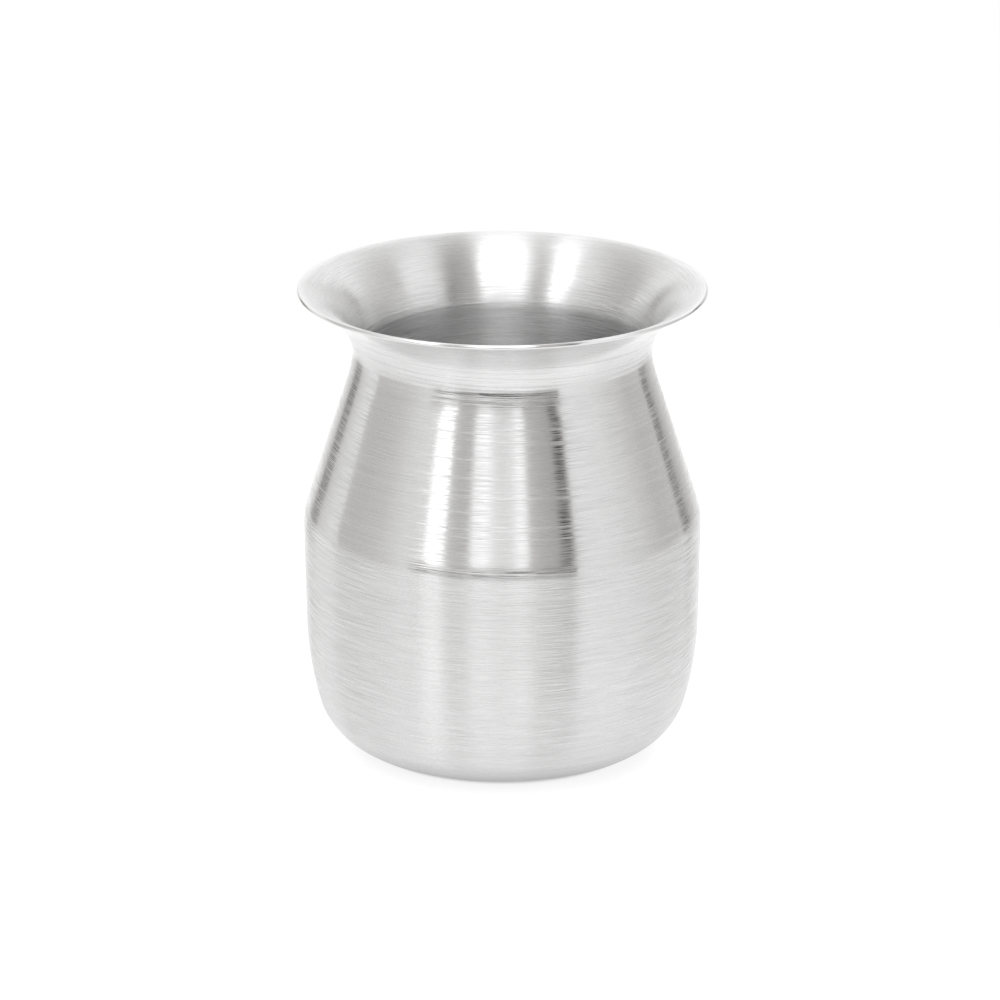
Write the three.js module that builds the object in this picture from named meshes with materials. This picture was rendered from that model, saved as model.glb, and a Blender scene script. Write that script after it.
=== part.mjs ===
// A lota: a water pot of satin stainless steel, drawn and spun from one round blank.
// Its one wall runs unbroken from the flat base to the rolled-smooth lip of the open mouth.
// Millimetres, +Z up, with the origin at the centre of the base on the surface it stands on.
import * as THREE from "three";

// Overall sizes, all measured over the outside of the steel.
const HEIGHT = 116.4;
const MOUTH_DIAMETER = 100;
const THROAT_DIAMETER = 73.1;
const BELLY_DIAMETER = 97.7;
const SHEET = 1.1;

// The base corner is a tight round that runs on into a slower one up the lower wall.
const CORNER_RADIUS = 16.4;
const CORNER_TURN = 75;
const LOWER_WALL_RADIUS = 85;

// The belly is nearly upright, and bends over a soft crease into the straight shoulder.
const BELLY_TAPER = 1.1;
const CREASE_RADIUS = 19;
const SHOULDER_LEAN = 17.8;

// The neck stands the wall up over a slow curve, a tight round at the throat tips it outwards, and
// the open flare carries it on round to the lip.
const NECK_RADIUS = 32;
const THROAT_START_LEAN = 5;
const THROAT_RADIUS = 5.5;
const FLARE_START_LEAN = 15;
const FLARE_RADIUS = 19;

// How finely the curves are divided.
const SEGMENTS_AROUND = 64;
const DEGREES_PER_STEP = 7.5;
const FEWEST_ARC_STEPS = 3;
const LIP_STEPS = 6;

const UPRIGHT = Math.PI / 2;
const radians = THREE.MathUtils.degToRad;

// The leans and heights that close the outside profile, each worked out from the sizes above.
// A lean is an angle away from upright: inward on the shoulder and neck, outward on the flare.
function profileStations() {
  const taper = radians(BELLY_TAPER);
  const shoulder = radians(SHOULDER_LEAN);
  const corner = radians(CORNER_TURN);
  const throatStart = radians(THROAT_START_LEAN);
  const flareStart = radians(FLARE_START_LEAN);
  const halfSheet = SHEET / 2;
  const lipCentreRadius = MOUTH_DIAMETER / 2 - halfSheet;
  const lipCentreHeight = HEIGHT - halfSheet;

  // The flare's arc ends where the middle of the sheet reaches the middle of the lip.
  const flareStartRadius = THROAT_DIAMETER / 2 + THROAT_RADIUS * (1 - Math.cos(flareStart));
  const flareCentreRadius = flareStartRadius + FLARE_RADIUS * Math.cos(flareStart);
  const lipLean = Math.acos((flareCentreRadius - lipCentreRadius) / (FLARE_RADIUS + halfSheet));
  const flareRise = FLARE_RADIUS * (Math.sin(lipLean) - Math.sin(flareStart));
  const throatRise = THROAT_RADIUS * Math.sin(flareStart);
  const throatHeight = lipCentreHeight - halfSheet * Math.sin(lipLean) - flareRise - throatRise;

  // Below the throat the tight round and the neck's arc lead down to the shoulder.
  const neckTopRadius = THROAT_DIAMETER / 2 + THROAT_RADIUS * (1 - Math.cos(throatStart));
  const neckTopHeight = throatHeight - THROAT_RADIUS * Math.sin(throatStart);
  const neckSpread = NECK_RADIUS * (Math.cos(throatStart) - Math.cos(shoulder));
  const neckDrop = NECK_RADIUS * (Math.sin(shoulder) - Math.sin(throatStart));

  // The shoulder runs straight between the neck's arc and the crease's arc.
  const shoulderTopRadius = neckTopRadius + neckSpread;
  const shoulderTopHeight = neckTopHeight - neckDrop;
  const shoulderFootRadius = BELLY_DIAMETER / 2 - CREASE_RADIUS * (1 - Math.cos(shoulder));
  const shoulderSpread = shoulderFootRadius - shoulderTopRadius;
  const shoulderFootHeight = shoulderTopHeight - shoulderSpread / Math.tan(shoulder);
  const creaseHeight = shoulderFootHeight - CREASE_RADIUS * Math.sin(shoulder);

  // Below the crease the wall draws in a little until the two rounds of the base take over.
  const bellyTopRadius = BELLY_DIAMETER / 2 - CREASE_RADIUS * (1 - Math.cos(taper));
  const bellyTopHeight = creaseHeight - CREASE_RADIUS * Math.sin(taper);
  const cornerRise = CORNER_RADIUS * (1 - Math.cos(corner));
  const lowerWallRise = LOWER_WALL_RADIUS * (Math.cos(corner) - Math.sin(taper));
  const bellyRise = bellyTopHeight - cornerRise - lowerWallRise;
  const lowerWallSpread = LOWER_WALL_RADIUS * (Math.cos(taper) - Math.sin(corner));
  const cornerSpread = CORNER_RADIUS * Math.sin(corner);
  const baseRadius = bellyTopRadius - bellyRise * Math.tan(taper) - lowerWallSpread - cornerSpread;

  return {
    baseRadius,
    corner,
    lowerWallTop: UPRIGHT - taper,
    bellyLength: bellyRise / Math.cos(taper),
    shoulderHeading: UPRIGHT + shoulder,
    shoulderLength: shoulderSpread / Math.sin(shoulder),
    neckEnd: UPRIGHT + throatStart,
    throatEnd: UPRIGHT - flareStart,
    lipHeading: UPRIGHT - lipLean,
  };
}

// A pen that draws the outside profile upwards. Each point keeps its heading, so that the inside
// of the sheet can be laid off square to it.
function profilePen(radius, height) {
  const points = [{ radius, height, heading: 0 }];
  const last = () => points[points.length - 1];

  function arc(arcRadius, endHeading) {
    const start = last();
    const turn = endHeading - start.heading;
    const side = Math.sign(turn);
    const centreRadius = start.radius - side * arcRadius * Math.sin(start.heading);
    const centreHeight = start.height + side * arcRadius * Math.cos(start.heading);
    const wanted = Math.ceil(Math.abs(turn) / radians(DEGREES_PER_STEP));
    const steps = Math.max(FEWEST_ARC_STEPS, wanted);
    for (let step = 1; step <= steps; step += 1) {
      const heading = start.heading + (turn * step) / steps;
      points.push({
        radius: centreRadius + side * arcRadius * Math.sin(heading),
        height: centreHeight - side * arcRadius * Math.cos(heading),
        heading,
      });
    }
  }

  function line(length) {
    const start = last();
    points.push({
      radius: start.radius + length * Math.cos(start.heading),
      height: start.height + length * Math.sin(start.heading),
      heading: start.heading,
    });
  }

  return { points, arc, line };
}

// The outside of the wall, from the edge of the flat base up to the lip.
function outsideProfile() {
  const at = profileStations();
  const pen = profilePen(at.baseRadius, 0);
  pen.arc(CORNER_RADIUS, at.corner);
  pen.arc(LOWER_WALL_RADIUS, at.lowerWallTop);
  pen.line(at.bellyLength);
  pen.arc(CREASE_RADIUS, at.shoulderHeading);
  pen.line(at.shoulderLength);
  pen.arc(NECK_RADIUS, at.neckEnd);
  pen.arc(THROAT_RADIUS, at.throatEnd);
  pen.arc(FLARE_RADIUS, at.lipHeading);
  return pen.points;
}

// A point laid off square to the wall, inwards by a given depth.
function inward(point, depth) {
  return new THREE.Vector2(
    point.radius - depth * Math.sin(point.heading),
    point.height + depth * Math.cos(point.heading),
  );
}

// The half round that closes the sheet at the mouth, from its outside face to its inside face.
function lipRound(lipPoint) {
  const centre = inward(lipPoint, SHEET / 2);
  const points = [];
  for (let step = 1; step < LIP_STEPS; step += 1) {
    const angle = lipPoint.heading - UPRIGHT + (Math.PI * step) / LIP_STEPS;
    const reach = new THREE.Vector2(Math.cos(angle), Math.sin(angle)).multiplyScalar(SHEET / 2);
    points.push(centre.clone().add(reach));
  }
  return points;
}

// The whole section of the pot: out along the base, up the outside, over the lip, down the
// inside and back to the axis on the floor of the pot.
function potSection() {
  const outside = outsideProfile();
  const up = outside.map((point) => inward(point, 0));
  const down = outside.map((point) => inward(point, SHEET)).reverse();
  const lip = lipRound(outside[outside.length - 1]);
  const underside = new THREE.Vector2(0, 0);
  const floor = new THREE.Vector2(0, SHEET);
  return [underside, ...up, ...lip, ...down, floor];
}

// Satin stainless steel, brushed round the pot inside and out.
const satinSteel = new THREE.MeshStandardMaterial({
  color: 0xdadada,
  roughness: 0.3,
  metalness: 1,
});

// The lathe turns its section about +Y, so the pot is stood up onto +Z.
const section = potSection();
const geometry = new THREE.LatheGeometry(section, SEGMENTS_AROUND);
geometry.rotateX(UPRIGHT);
const pot = new THREE.Mesh(geometry, satinSteel);
pot.name = "pot_wall";

const lota = new THREE.Group();
lota.name = "lota";
lota.add(pot);

export default lota;
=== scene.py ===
import math

import bpy
import numpy as np
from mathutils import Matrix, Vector


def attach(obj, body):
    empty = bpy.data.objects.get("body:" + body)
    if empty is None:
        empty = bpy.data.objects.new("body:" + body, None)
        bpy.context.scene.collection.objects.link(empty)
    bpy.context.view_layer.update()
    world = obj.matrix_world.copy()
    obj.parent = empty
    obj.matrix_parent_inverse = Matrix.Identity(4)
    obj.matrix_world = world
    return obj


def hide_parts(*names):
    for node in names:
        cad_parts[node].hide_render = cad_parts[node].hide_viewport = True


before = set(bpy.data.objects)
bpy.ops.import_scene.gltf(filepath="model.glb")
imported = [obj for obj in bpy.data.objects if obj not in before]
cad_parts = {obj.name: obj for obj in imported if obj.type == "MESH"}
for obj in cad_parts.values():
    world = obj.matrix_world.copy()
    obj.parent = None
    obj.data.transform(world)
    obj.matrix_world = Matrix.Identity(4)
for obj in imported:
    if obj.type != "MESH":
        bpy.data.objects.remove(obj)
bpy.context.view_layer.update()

# The pot
# One wall of satin stainless steel: a drawn cup, necked in and flared out on a spinning lathe,
# brushed round inside and out, with the cut edge of the mouth rounded off. Its section is drawn
# once, up the outside, over the lip and down the inside, and is then turned about the axis.
HEIGHT = 0.1164
MOUTH_DIAMETER = 0.100
THROAT_DIAMETER = 0.0731
BELLY_DIAMETER = 0.0977
SHEET = 0.0011

# The rounds of the outside from the base upwards, and the leans between them, in degrees away
# from upright: inwards on the shoulder and neck, and outwards below the belly and on the flare.
CORNER_RADIUS = 0.0164
CORNER_TURN = 75.0
LOWER_WALL_RADIUS = 0.085
BELLY_TAPER = 1.1
CREASE_RADIUS = 0.019
SHOULDER_LEAN = 17.8
NECK_RADIUS = 0.032
THROAT_START_LEAN = 5.0
THROAT_RADIUS = 0.0055
FLARE_START_LEAN = 15.0
FLARE_RADIUS = 0.019
DEGREES_PER_STEP = 2.0
FEWEST_STEPS = 3
STEPS_AROUND = 240
MERGE_DISTANCE = 1e-6


def arc_width(radius, lean, next_lean):
    """How far sideways an arc of the wall goes between two leans."""
    return radius * (math.cos(math.radians(lean)) - math.cos(math.radians(next_lean)))


def arc_height(radius, lean, next_lean):
    """How far up an arc of the wall goes between two leans."""
    return radius * (math.sin(math.radians(next_lean)) - math.sin(math.radians(lean)))


# The flare ends at the lean where its rounded lip just reaches the mouth's radius.
lip_radius = SHEET / 2
flare_foot = THROAT_DIAMETER / 2 + arc_width(THROAT_RADIUS, 0, FLARE_START_LEAN)
flare_centre = flare_foot + FLARE_RADIUS * math.cos(math.radians(FLARE_START_LEAN))
lip_lean = math.degrees(
    math.acos((flare_centre + lip_radius - MOUTH_DIAMETER / 2) / (FLARE_RADIUS + lip_radius))
)
throat_height = (
    HEIGHT - lip_radius - lip_radius * math.sin(math.radians(lip_lean))
    - arc_height(FLARE_RADIUS, FLARE_START_LEAN, lip_lean)
    - arc_height(THROAT_RADIUS, 0, FLARE_START_LEAN)
)

# The shoulder runs straight between the neck's arc and the crease's arc.
shoulder_top_radius = (
    THROAT_DIAMETER / 2 + arc_width(THROAT_RADIUS, 0, THROAT_START_LEAN)
    + arc_width(NECK_RADIUS, THROAT_START_LEAN, SHOULDER_LEAN)
)
shoulder_top_height = (
    throat_height - arc_height(THROAT_RADIUS, 0, THROAT_START_LEAN)
    - arc_height(NECK_RADIUS, THROAT_START_LEAN, SHOULDER_LEAN)
)
shoulder_foot_radius = BELLY_DIAMETER / 2 - arc_width(CREASE_RADIUS, 0, SHOULDER_LEAN)
shoulder_width = shoulder_foot_radius - shoulder_top_radius
shoulder_foot_height = shoulder_top_height - shoulder_width / math.tan(math.radians(SHOULDER_LEAN))

# The belly runs straight from the crease's arc down to the two rounds of the base.
corner_end_lean = 90 - CORNER_TURN
belly_top_radius = BELLY_DIAMETER / 2 - arc_width(CREASE_RADIUS, 0, BELLY_TAPER)
belly_top_height = shoulder_foot_height - arc_height(CREASE_RADIUS, -BELLY_TAPER, SHOULDER_LEAN)
belly_height = (
    belly_top_height - arc_height(LOWER_WALL_RADIUS, BELLY_TAPER, corner_end_lean)
    - arc_height(CORNER_RADIUS, corner_end_lean, 90)
)
base_radius = (
    belly_top_radius - belly_height * math.tan(math.radians(BELLY_TAPER))
    - arc_width(LOWER_WALL_RADIUS, BELLY_TAPER, corner_end_lean)
    - arc_width(CORNER_RADIUS, corner_end_lean, 90)
)

# The outside as straight runs and turns, from the edge of the flat base upwards. A turn has a
# radius and an angle, to the left where it is positive, and a run has a length alone.
wall_moves = [
    (CORNER_RADIUS, CORNER_TURN),
    (LOWER_WALL_RADIUS, corner_end_lean - BELLY_TAPER),
    (None, belly_height / math.cos(math.radians(BELLY_TAPER))),
    (CREASE_RADIUS, BELLY_TAPER + SHOULDER_LEAN),
    (None, shoulder_width / math.sin(math.radians(SHOULDER_LEAN))),
    (NECK_RADIUS, THROAT_START_LEAN - SHOULDER_LEAN),
    (THROAT_RADIUS, -THROAT_START_LEAN - FLARE_START_LEAN),
    (FLARE_RADIUS, FLARE_START_LEAN - lip_lean),
]

# The pen draws the section from the axis outwards. The stations are its points, each with how far
# along the section it lies.
pen = {"r": 0.0, "z": 0.0, "heading": 0.0, "along": 0.0}
stations = [(0.0, 0.0, 0.0)]


def run_wall(length):
    """Draw a straight stretch from the selected end of the section."""
    across = length * math.cos(pen["heading"])
    up = length * math.sin(pen["heading"])
    bpy.ops.mesh.extrude_region_move(TRANSFORM_OT_translate={"value": (across, 0.0, up)})
    pen["r"] += across
    pen["z"] += up
    pen["along"] += length
    stations.append((pen["r"], pen["z"], pen["along"]))


def turn_wall(radius, degrees):
    """Draw an arc from the selected end of the section, to the left where degrees is positive."""
    angle = math.radians(degrees)
    side = math.copysign(1.0, angle)
    start = pen["heading"]
    centre_r = pen["r"] - side * radius * math.sin(start)
    centre_z = pen["z"] + side * radius * math.cos(start)
    steps = max(FEWEST_STEPS, math.ceil(abs(degrees) / DEGREES_PER_STEP))
    bpy.ops.mesh.spin(
        steps=steps, angle=abs(angle), center=(centre_r, 0.0, centre_z), axis=(0.0, side, 0.0)
    )
    for step in range(1, steps + 1):
        heading = start + angle * step / steps
        pen["r"] = centre_r + side * radius * math.sin(heading)
        pen["z"] = centre_z - side * radius * math.cos(heading)
        pen["along"] += radius * abs(angle) / steps
        stations.append((pen["r"], pen["z"], pen["along"]))
    pen["heading"] = start + angle


bpy.ops.object.select_all(action="DESELECT")
bpy.ops.mesh.primitive_plane_add(size=SHEET, location=(0.0, 0.0, 0.0))
pot = bpy.context.object
pot.name = "pot"
bpy.ops.object.mode_set(mode="EDIT")
bpy.ops.mesh.select_mode(type="VERT")
bpy.ops.mesh.select_all(action="SELECT")
bpy.ops.mesh.merge(type="CENTER")

run_wall(base_radius)
for radius, amount in wall_moves:
    if radius is None:
        run_wall(amount)
    else:
        turn_wall(radius, amount)
turn_wall(lip_radius, 180.0)
lip_along = pen["along"]
for radius, amount in reversed(wall_moves):
    if radius is None:
        run_wall(amount)
    else:
        turn_wall(radius - math.copysign(SHEET, amount), -amount)
run_wall(pen["r"])

bpy.ops.mesh.select_all(action="SELECT")
bpy.ops.mesh.spin(
    steps=STEPS_AROUND, angle=2 * math.pi, center=(0.0, 0.0, 0.0), axis=(0.0, 0.0, 1.0)
)
bpy.ops.mesh.select_all(action="SELECT")
bpy.ops.mesh.remove_doubles(threshold=MERGE_DISTANCE)
bpy.ops.mesh.normals_make_consistent(inside=False)
bpy.ops.object.mode_set(mode="OBJECT")
bpy.ops.object.shade_smooth()

# Each point of the mesh keeps how far along the section it lies, so that the brushing can follow
# the wall.
points = np.array([(math.hypot(v.co.x, v.co.y), v.co.z) for v in pot.data.vertices])
track = np.array(stations)
gaps = np.hypot(points[:, None, 0] - track[None, :, 0], points[:, None, 1] - track[None, :, 1])
along = pot.data.attributes.new("along", "FLOAT", "POINT")
along.data.foreach_set("value", track[np.argmin(gaps, axis=1), 2])

# The steel is brushed by a grit belt while the pot turns, so its grooves run round it. The flats
# between them mirror the room fairly sharply, and the grooves fan the light out up and down the
# wall, but hardly at all from side to side. Fine scratches lie along the brushing.
STEEL = "F8F8F8"
STEEL_GROOVE = "F3F3F3"
STEEL_SCRATCH = "E4E4E4"

# The hair lines are as fine as a belt of about 180 grit leaves them, and only mix the lowest and
# the highest roughness, as they are too fine to show one by one. The fine lines, the coarse lines
# and the scratches are drawn wider than real ones, as wide as they need to be to show.
HAIR_WIDTH = 0.00005
HAIR_LENGTH = 0.008
FINE_WIDTH = 0.00026
FINE_LENGTH = 0.025
FINE_DEPTH = 0.000008
COARSE_WIDTH = 0.0006
COARSE_LENGTH = 0.07
COARSE_DEPTH = 0.000016
SCRATCH_WIDTH = 0.0004
SCRATCH_LENGTH = 0.06
SCRATCH_DEPTH = 0.000015
SCRATCH_CLIMB = 0.03
SCRATCH_ROUGHNESS = 0.36

# The noise levels between which a flat becomes a groove, the colour changes and a scratch starts,
# and how strong the finer lines within a line are.
HAIR_EDGE = (0.46, 0.58)
COARSE_EDGE = (0.3, 0.7)
SCRATCH_EDGE = (0.65, 0.73)
LINE_RAGGEDNESS = 0.6

# A quarter of a turn from along the grooves, so that the light spreads across them.
SPREAD_TURN = 0.25

# How the finish changes along the wall, in metres from the middle of the base: the lowest and the
# highest roughness, how deep the grooves are, and how bright the steel is, which is painted light
# and shade. The rows go over the base and its corner, the belly, the crease, the neck, the flare and
# the lip, and then down inside the flare, the throat and the shoulder. The part it stands on is
# darkened with painted shade, for the shadow under the pot that it mirrors. The outside of the flare
# below the lip and the inside of the flare and throat are brightened with painted light. The flare
# is brushed more softly, and the inside of the throat more roughly.
finish_and_painted_light = [
    (0.0, 0.22, 0.38, 0.8, 0.36),
    (0.036, 0.22, 0.38, 0.8, 0.36),
    (0.041, 0.22, 0.38, 0.8, 0.62),
    (0.046, 0.22, 0.38, 0.8, 0.78),
    (0.075, 0.20, 0.38, 0.9, 0.79),
    (0.090, 0.18, 0.38, 0.9, 0.79),
    (0.098, 0.10, 0.40, 1.0, 0.81),
    (lip_along - 0.025, 0.10, 0.40, 1.0, 0.83),
    (lip_along - 0.020, 0.10, 0.28, 0.7, 0.86),
    (lip_along - 0.010, 0.10, 0.28, 0.4, 0.94),
    (lip_along, 0.10, 0.28, 0.4, 0.94),
    (lip_along + 0.001, 0.24, 0.38, 0.3, 0.86),
    (lip_along + 0.017, 0.24, 0.38, 0.3, 0.86),
    (lip_along + 0.023, 0.26, 0.56, 2.0, 1.0),
    (lip_along + 0.045, 0.26, 0.56, 1.4, 0.98),
    (lip_along + 0.055, 0.15, 0.48, 0.6, 0.90),
]


def linear(hex_colour):
    """Turn an sRGB hex colour to the linear values that a shader takes."""
    levels = [int(hex_colour[i:i + 2], 16) / 255 for i in (0, 2, 4)]
    return [v / 12.92 if v <= 0.04045 else ((v + 0.055) / 1.055) ** 2.4 for v in levels] + [1.0]


def add_node(tree, kind, inputs=None, **settings):
    """Add a node, set its properties, and set or link its inputs."""
    made = tree.nodes.new(kind)
    for name, value in settings.items():
        setattr(made, name, value)
    for socket, value in (inputs or {}).items():
        if isinstance(value, bpy.types.NodeSocket):
            tree.links.new(value, made.inputs[socket])
        else:
            made.inputs[socket].default_value = value
    return made


steel = bpy.data.materials.new("satin_stainless_steel")
steel.use_nodes = True
tree = steel.node_tree
tree.nodes.clear()

place = add_node(tree, "ShaderNodeTexCoord")
axes = add_node(tree, "ShaderNodeSeparateXYZ", {0: place.outputs["Object"]})
wall = add_node(tree, "ShaderNodeAttribute", attribute_name="along")


def brush_lines(length, width, detail, climb=0.0):
    """Noise drawn out round the pot, with a length and a width, that may climb as it goes."""
    climbing = add_node(
        tree, "ShaderNodeMath", {0: axes.outputs[0], 1: climb, 2: wall.outputs["Fac"]},
        operation="MULTIPLY_ADD",
    )
    brushing = add_node(
        tree, "ShaderNodeCombineXYZ",
        {0: axes.outputs[0], 1: axes.outputs[1], 2: climbing.outputs[0]},
    )
    scaled = add_node(
        tree, "ShaderNodeMapping",
        {"Vector": brushing.outputs[0], "Scale": (1 / length, 1 / length, 1 / width)},
    )
    noise = add_node(
        tree, "ShaderNodeTexNoise",
        {"Vector": scaled.outputs[0], "Scale": 1.0, "Detail": detail,
         "Roughness": LINE_RAGGEDNESS},
    )
    return noise.outputs["Fac"]


hair = brush_lines(HAIR_LENGTH, HAIR_WIDTH, 0.0)
fine = brush_lines(FINE_LENGTH, FINE_WIDTH, 1.0)
coarse = brush_lines(COARSE_LENGTH, COARSE_WIDTH, 2.0)
scratches = brush_lines(SCRATCH_LENGTH, SCRATCH_WIDTH, 0.0, SCRATCH_CLIMB)

# One ramp holds the four columns of the finish table, as red, green, blue and alpha. The alpha is
# the painted light and shade.
share_along = add_node(
    tree, "ShaderNodeMapRange", {"Value": wall.outputs["Fac"], "From Max": pen["along"]}
)
changes = add_node(tree, "ShaderNodeValToRGB", {"Fac": share_along.outputs[0]})
stops = changes.color_ramp.elements
stops.remove(stops[1])
for index, (at, lowest, highest, depth, brightness) in enumerate(finish_and_painted_light):
    stop = stops.new(at / pen["along"]) if index else stops[0]
    stop.position = at / pen["along"]
    stop.color = (lowest, highest, depth, brightness)
finish_here = add_node(tree, "ShaderNodeSeparateColor", {0: changes.outputs[0]})
brushed = add_node(
    tree, "ShaderNodeMapRange",
    {"Value": hair, "From Min": HAIR_EDGE[0], "From Max": HAIR_EDGE[1],
     "To Min": finish_here.outputs[0], "To Max": finish_here.outputs[1]},
)
scratched = add_node(
    tree, "ShaderNodeMapRange",
    {"Value": scratches, "From Min": SCRATCH_EDGE[0], "From Max": SCRATCH_EDGE[1],
     "To Max": finish_here.outputs[2]},
)
roughness = add_node(
    tree, "ShaderNodeMix",
    {0: scratched.outputs[0], 2: brushed.outputs[0], 3: SCRATCH_ROUGHNESS},
)

# The colour hardly changes over the grooves and in the scratches.
grooved = add_node(
    tree, "ShaderNodeMapRange",
    {"Value": coarse, "From Min": COARSE_EDGE[0], "From Max": COARSE_EDGE[1]},
)
brushed_steel = add_node(
    tree, "ShaderNodeMix",
    {"Factor": grooved.outputs[0], 6: linear(STEEL_GROOVE), 7: linear(STEEL)},
    data_type="RGBA",
)
# The steel's colour is multiplied by the painted light and shade along the wall: painted shade at
# the foot, and painted light on the flare and inside the throat.
steel_with_painted_light = add_node(
    tree, "ShaderNodeMix",
    {0: 1.0, 6: brushed_steel.outputs[2], 7: changes.outputs["Alpha"]},
    data_type="RGBA", blend_type="MULTIPLY",
)
scratched_steel = add_node(
    tree, "ShaderNodeMix",
    {"Factor": scratched.outputs[0], 6: steel_with_painted_light.outputs[2], 7: linear(STEEL_SCRATCH)},
    data_type="RGBA",
)

relief = None
for height, depth in (
    (coarse, COARSE_DEPTH), (fine, FINE_DEPTH), (scratched.outputs[0], SCRATCH_DEPTH)
):
    deeper = add_node(
        tree, "ShaderNodeBump",
        {"Height": height, "Distance": depth, "Strength": finish_here.outputs[2]},
    )
    if relief:
        tree.links.new(relief.outputs[0], deeper.inputs["Normal"])
    relief = deeper
round_the_pot = add_node(tree, "ShaderNodeTangent", direction_type="RADIAL", axis="Z")
surface = add_node(
    tree, "ShaderNodeBsdfPrincipled",
    {
        "Base Color": scratched_steel.outputs[2],
        "Metallic": 1.0,
        "Roughness": roughness.outputs[0],
        "Anisotropic": 1.0,
        "Anisotropic Rotation": SPREAD_TURN,
        "Normal": relief.outputs[0],
        "Tangent": round_the_pot.outputs[0],
    },
)
add_node(tree, "ShaderNodeOutputMaterial", {"Surface": surface.outputs[0]})

pot.data.materials.append(steel)
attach(pot, "root")
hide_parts("pot_wall")

# The floor
# A round table top with a soft gloss. It is aglow, so that it looks white, but hardly at all under
# the pot. The missing glow is a painted shadow round the base, on top of the faint soft shadow that
# the pot casts on it. Its edge shows as a line in the neck and in the crease.
TABLE_RADIUS = 0.38
TABLE_SIDES = 96
TABLE_ROUGHNESS = 0.22
TABLE_GREY = "898989"
WHITE = "FFFFFF"
# The painted shadow under the pot: the radii between which the glow rises from its level there to
# its full level.
SHADE_START = 0.0305
SHADE_END = 0.0345
SHADE_GLOW = 0.10
TABLE_GLOW = 0.80

# Towards each side the glow fades, a painted shade that the belly's sides mirror darker: from one x
# to another, down to a share of itself.
painted_side_shades = [(-0.03, -0.16, 0.80), (0.08, 0.17, 0.74)]

bpy.ops.object.select_all(action="DESELECT")
bpy.ops.mesh.primitive_circle_add(
    vertices=TABLE_SIDES, radius=TABLE_RADIUS, fill_type="NGON", location=(0.0, 0.0, 0.0)
)
floor = bpy.context.object
floor.name = "floor"
table_top = bpy.data.materials.new("white_table_top")
table_top.use_nodes = True
tree = table_top.node_tree
tree.nodes.clear()
place = add_node(tree, "ShaderNodeTexCoord")
axes = add_node(tree, "ShaderNodeSeparateXYZ", {0: place.outputs["Object"]})
from_axis = add_node(
    tree, "ShaderNodeVectorMath", {0: place.outputs["Object"]}, operation="LENGTH"
)
glow = add_node(
    tree, "ShaderNodeMapRange",
    {"Value": from_axis.outputs["Value"], "From Min": SHADE_START, "From Max": SHADE_END,
     "To Min": SHADE_GLOW, "To Max": TABLE_GLOW},
)
for start_x, end_x, share in painted_side_shades:
    fade = add_node(
        tree, "ShaderNodeMapRange",
        {"Value": axes.outputs[0], "From Min": start_x, "From Max": end_x, "To Min": 1.0,
         "To Max": share},
    )
    glow = add_node(
        tree, "ShaderNodeMath", {0: glow.outputs[0], 1: fade.outputs[0]}, operation="MULTIPLY"
    )
surface = add_node(
    tree, "ShaderNodeBsdfPrincipled",
    {"Base Color": linear(TABLE_GREY), "Roughness": TABLE_ROUGHNESS,
     "Emission Color": linear(WHITE), "Emission Strength": glow.outputs[0]},
)
add_node(tree, "ShaderNodeOutputMaterial", {"Surface": surface.outputs[0]})
floor.data.materials.append(table_top)

# The studio
# A tent of upright strips, white with grey gaps between them, that leans back over the table. It
# lights the steel, and its strips are the stripes that the steel mirrors.
TENT_RADIUS = 2.0
TENT_FOOT = -0.6
TENT_HEIGHT = 6.0
TENT_LEAN = 0.6
TENT_SIDES = 96
WARM = "FFFAF7"

# Each strip starts at an azimuth in degrees, where 0 is the camera's side and positive is to its
# right. It has a level above and one near its foot, where 1 is white.
left_strips = [
    (-180, 1.15, 1.12), (-160, 1.15, 0.93), (-148, 1.12, 0.72), (-144, 1.10, 0.30),
    (-135, 1.05, 0.30), (-131, 1.00, 0.70), (-120, 0.84, 0.88), (-108, 0.67, 1.00),
    (-105.5, 0.62, 0.63), (-88, 0.58, 0.64), (-70, 0.72, 0.70), (-56, 0.96, 0.87),
    (-46, 1.08, 0.89), (-41.5, 1.20, 0.82), (-38, 2.30, 1.98), (-31, 2.30, 2.10),
    (-28, 1.40, 0.72), (-26, 0.95, 0.66), (-22, 0.66, 0.60), (-18, 0.70, 0.58),
    (-14.5, 1.10, 1.38), (-9, 2.00, 1.44), (-4, 2.00, 0.97), (0, 2.00, 0.88),
]
right_strips = [
    (0, 2.00, 0.88), (4, 2.00, 0.93), (9, 2.00, 1.36), (11.5, 1.80, 1.26), (14.5, 0.60, 0.62),
    (28, 0.42, 0.50), (31.5, 0.66, 0.08), (35, 0.85, 0.06), (38.5, 1.00, 1.02), (52, 1.15, 0.98),
    (62, 1.10, 0.93), (66, 0.70, 0.92), (80, 0.64, 0.85), (103, 0.84, 0.60), (118, 1.08, 0.62),
    (124, 1.15, 0.66), (127, 1.15, 0.26), (133, 1.15, 0.26), (138, 1.15, 0.52), (150, 1.12, 0.72),
    (160, 1.12, 0.84), (180, 1.15, 1.12),
]

# Under the strips on the camera's side is the room, with a level below the horizon and one above.
room_strips = [
    (-52, 0.20, 0.50), (-18, 0.20, 0.45), (-16, 0.0, 0.18), (13, 0.0, 0.18), (15, 0.16, 0.32),
    (41, 0.16, 0.32),
]

# The azimuths between which the room fades in and out, and the heights between which it gives way
# to the strips, its lower level to its upper one, and the strips' foot to their upper part.
ROOM_LEFT = (-56, -48)
ROOM_RIGHT = (43, 41)
ROOM_TOP = (0.26, 0.13)
HORIZON = (-0.12, 0.0)
FOOT_TOP = (0.85, 1.10)

# The levels between which the light goes from warm to white.
WARM_TO_WHITE = (0.2, 1.0)

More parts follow.
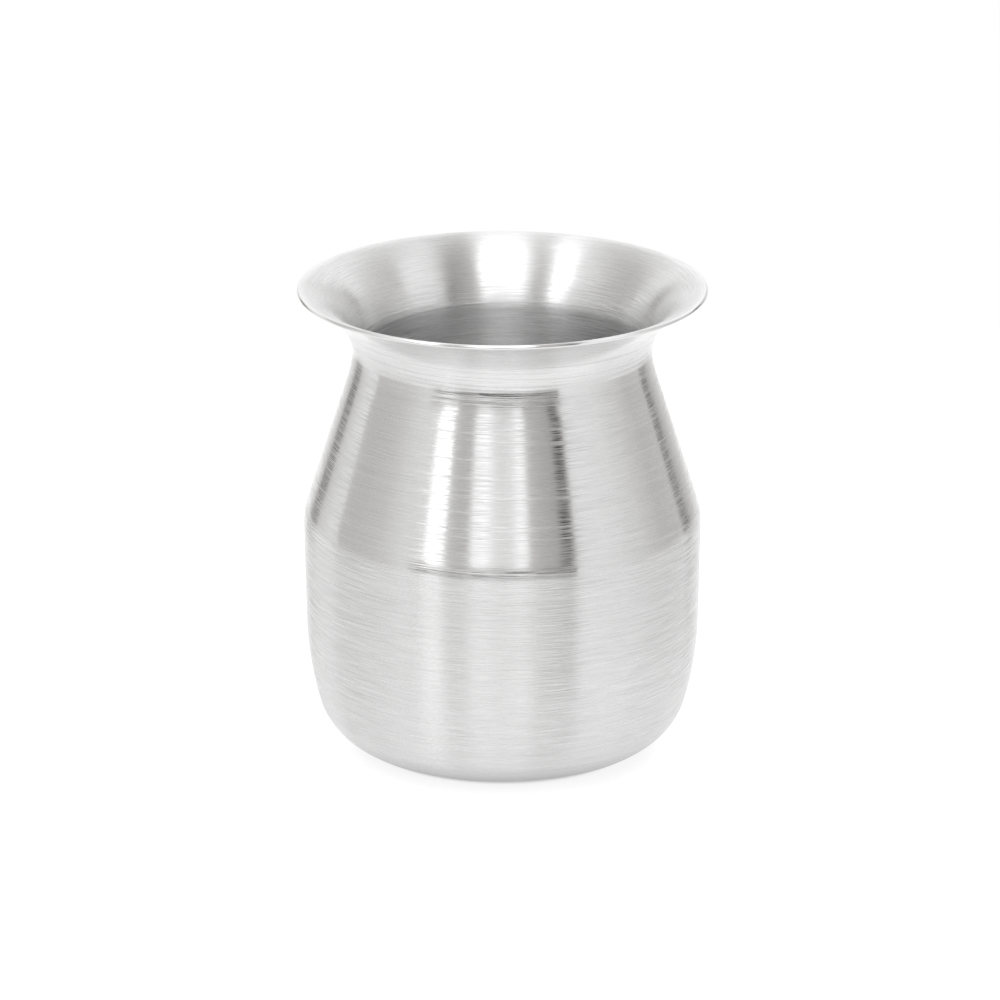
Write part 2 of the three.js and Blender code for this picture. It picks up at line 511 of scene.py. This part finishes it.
bpy.ops.object.select_all(action="DESELECT")
bpy.ops.mesh.primitive_circle_add(
    vertices=TENT_SIDES, radius=TENT_RADIUS, fill_type="NOTHING", location=(0.0, 0.0, 0.0)
)
tent = bpy.context.object
tent.name = "tent"
bpy.ops.object.mode_set(mode="EDIT")
bpy.ops.mesh.select_all(action="SELECT")
bpy.ops.mesh.extrude_region_move(
    TRANSFORM_OT_translate={"value": (0.0, TENT_LEAN * TENT_HEIGHT, TENT_HEIGHT)}
)
bpy.ops.mesh.select_all(action="DESELECT")
bpy.ops.object.mode_set(mode="OBJECT")
for vertex in tent.data.vertices:
    vertex.select = vertex.co.z < TENT_HEIGHT / 2
bpy.ops.object.mode_set(mode="EDIT")
bpy.ops.mesh.select_mode(type="VERT")
bpy.ops.mesh.extrude_region_move(TRANSFORM_OT_translate={"value": (0.0, 0.0, TENT_FOOT)})
bpy.ops.object.mode_set(mode="OBJECT")

cloth = bpy.data.materials.new("lit_cloth")
cloth.use_nodes = True
tree = cloth.node_tree
tree.nodes.clear()
place = add_node(tree, "ShaderNodeTexCoord")
axes = add_node(tree, "ShaderNodeSeparateXYZ", {0: place.outputs["Object"]})

# The azimuth is taken about the tent's own middle, which moves back as the tent rises.
up = add_node(tree, "ShaderNodeMath", {0: axes.outputs[2], 1: 0.0}, operation="MAXIMUM")
moved_back = add_node(
    tree, "ShaderNodeMath", {0: up.outputs[0], 1: TENT_LEAN}, operation="MULTIPLY"
)
to_front = add_node(
    tree, "ShaderNodeMath", {0: moved_back.outputs[0], 1: axes.outputs[1]}, operation="SUBTRACT"
)
azimuth = add_node(
    tree, "ShaderNodeMath", {0: axes.outputs[0], 1: to_front.outputs[0]}, operation="ARCTAN2"
)


def rise(value, start, end):
    """A share that goes from 0 to 1 as a value goes from a start to an end."""
    made = add_node(
        tree, "ShaderNodeMapRange", {"Value": value, "From Min": start, "From Max": end}
    )
    return made.outputs[0]


def blend(share, lower, upper):
    """Mix two levels."""
    return add_node(tree, "ShaderNodeMix", {0: share, 2: lower, 3: upper}).outputs[0]


def between_azimuths(first, last):
    """A share that goes from 0 to 1 between two azimuths in degrees."""
    return rise(azimuth.outputs[0], math.radians(first), math.radians(last))


def strip_levels(strips, column):
    """A ramp of light levels round the tent, from one column of a list of strips."""
    first, last = strips[0][0], strips[-1][0]
    levels = add_node(tree, "ShaderNodeValToRGB", {"Fac": between_azimuths(first, last)})
    stops = levels.color_ramp.elements
    stops.remove(stops[1])
    for index, strip in enumerate(strips):
        at = (strip[0] - first) / (last - first)
        stop = stops.new(at) if index else stops[0]
        stop.position = at
        stop.color = (strip[column], strip[column], strip[column], 1.0)
    return levels.outputs[0]


on_right = add_node(
    tree, "ShaderNodeMath", {0: azimuth.outputs[0], 1: 0.0}, operation="GREATER_THAN"
)
above = blend(on_right.outputs[0], strip_levels(left_strips, 1), strip_levels(right_strips, 1))
at_foot = blend(on_right.outputs[0], strip_levels(left_strips, 2), strip_levels(right_strips, 2))
strip_light = blend(rise(axes.outputs[2], *FOOT_TOP), at_foot, above)
room = blend(
    rise(axes.outputs[2], *HORIZON), strip_levels(room_strips, 1), strip_levels(room_strips, 2)
)
in_front = add_node(
    tree, "ShaderNodeMath",
    {0: between_azimuths(*ROOM_LEFT), 1: between_azimuths(*ROOM_RIGHT)}, operation="MULTIPLY",
)
in_room = add_node(
    tree, "ShaderNodeMath", {0: in_front.outputs[0], 1: rise(axes.outputs[2], *ROOM_TOP)},
    operation="MULTIPLY",
)
level = blend(in_room.outputs[0], strip_light, room)
tint = add_node(
    tree, "ShaderNodeMix", {0: rise(level, *WARM_TO_WHITE), 6: linear(WARM), 7: linear(WHITE)},
    data_type="RGBA",
)
light = add_node(tree, "ShaderNodeEmission", {"Color": tint.outputs[2], "Strength": level})
add_node(tree, "ShaderNodeOutputMaterial", {"Surface": light.outputs[0]})
cloth.cycles.emission_sampling = "NONE"
tent.data.materials.append(cloth)
tent.visible_camera = False

# The backdrop is white to the eye and in the steel, and lights the rest a little less.
BACKDROP_SEEN = 1.0
BACKDROP_LIGHT = 0.9
backdrop = bpy.data.worlds.new("backdrop")
backdrop.use_nodes = True
tree = backdrop.node_tree
tree.nodes.clear()
ray = add_node(tree, "ShaderNodeLightPath")
seen_or_mirrored = add_node(
    tree, "ShaderNodeMath", {0: ray.outputs["Is Camera Ray"], 1: ray.outputs["Is Glossy Ray"]},
    operation="ADD",
)
seen = add_node(
    tree, "ShaderNodeMath",
    {0: seen_or_mirrored.outputs[0], 1: ray.outputs["Is Transmission Ray"]},
    operation="ADD", use_clamp=True,
)
sky = add_node(
    tree, "ShaderNodeBackground",
    {"Color": linear(WHITE), "Strength": blend(seen.outputs[0], BACKDROP_LIGHT, BACKDROP_SEEN)},
)
add_node(tree, "ShaderNodeOutputWorld", {"Surface": sky.outputs[0]})
bpy.context.scene.world = backdrop

# The camera
# It stands 1.5 m off and looks down at 18 degrees, as the mouth's and the brush lines' ellipses say.
CAMERA_DISTANCE = 1.5
CAMERA_ELEVATION = 18.346
AIM_HEIGHT = 0.061684
FOCAL_SHARE = 6.0968
SENSOR = 36.0
SHIFT = -0.0024
FARTHEST = 100.0
camera_data = bpy.data.cameras.new("camera")
camera_data.sensor_width = SENSOR
camera_data.lens = SENSOR * FOCAL_SHARE
camera_data.shift_x = SHIFT
camera_data.clip_end = FARTHEST
camera = bpy.data.objects.new("camera", camera_data)
bpy.context.collection.objects.link(camera)
elevation = math.radians(CAMERA_ELEVATION)
aim = Vector((0.0, 0.0, AIM_HEIGHT))
back_off = Vector((0.0, -math.cos(elevation), math.sin(elevation))) * CAMERA_DISTANCE
camera.location = aim + back_off
camera.rotation_euler = (-back_off).to_track_quat("-Z", "Y").to_euler()
bpy.context.scene.camera = camera

bpy.context.scene.view_settings.view_transform = "Standard"
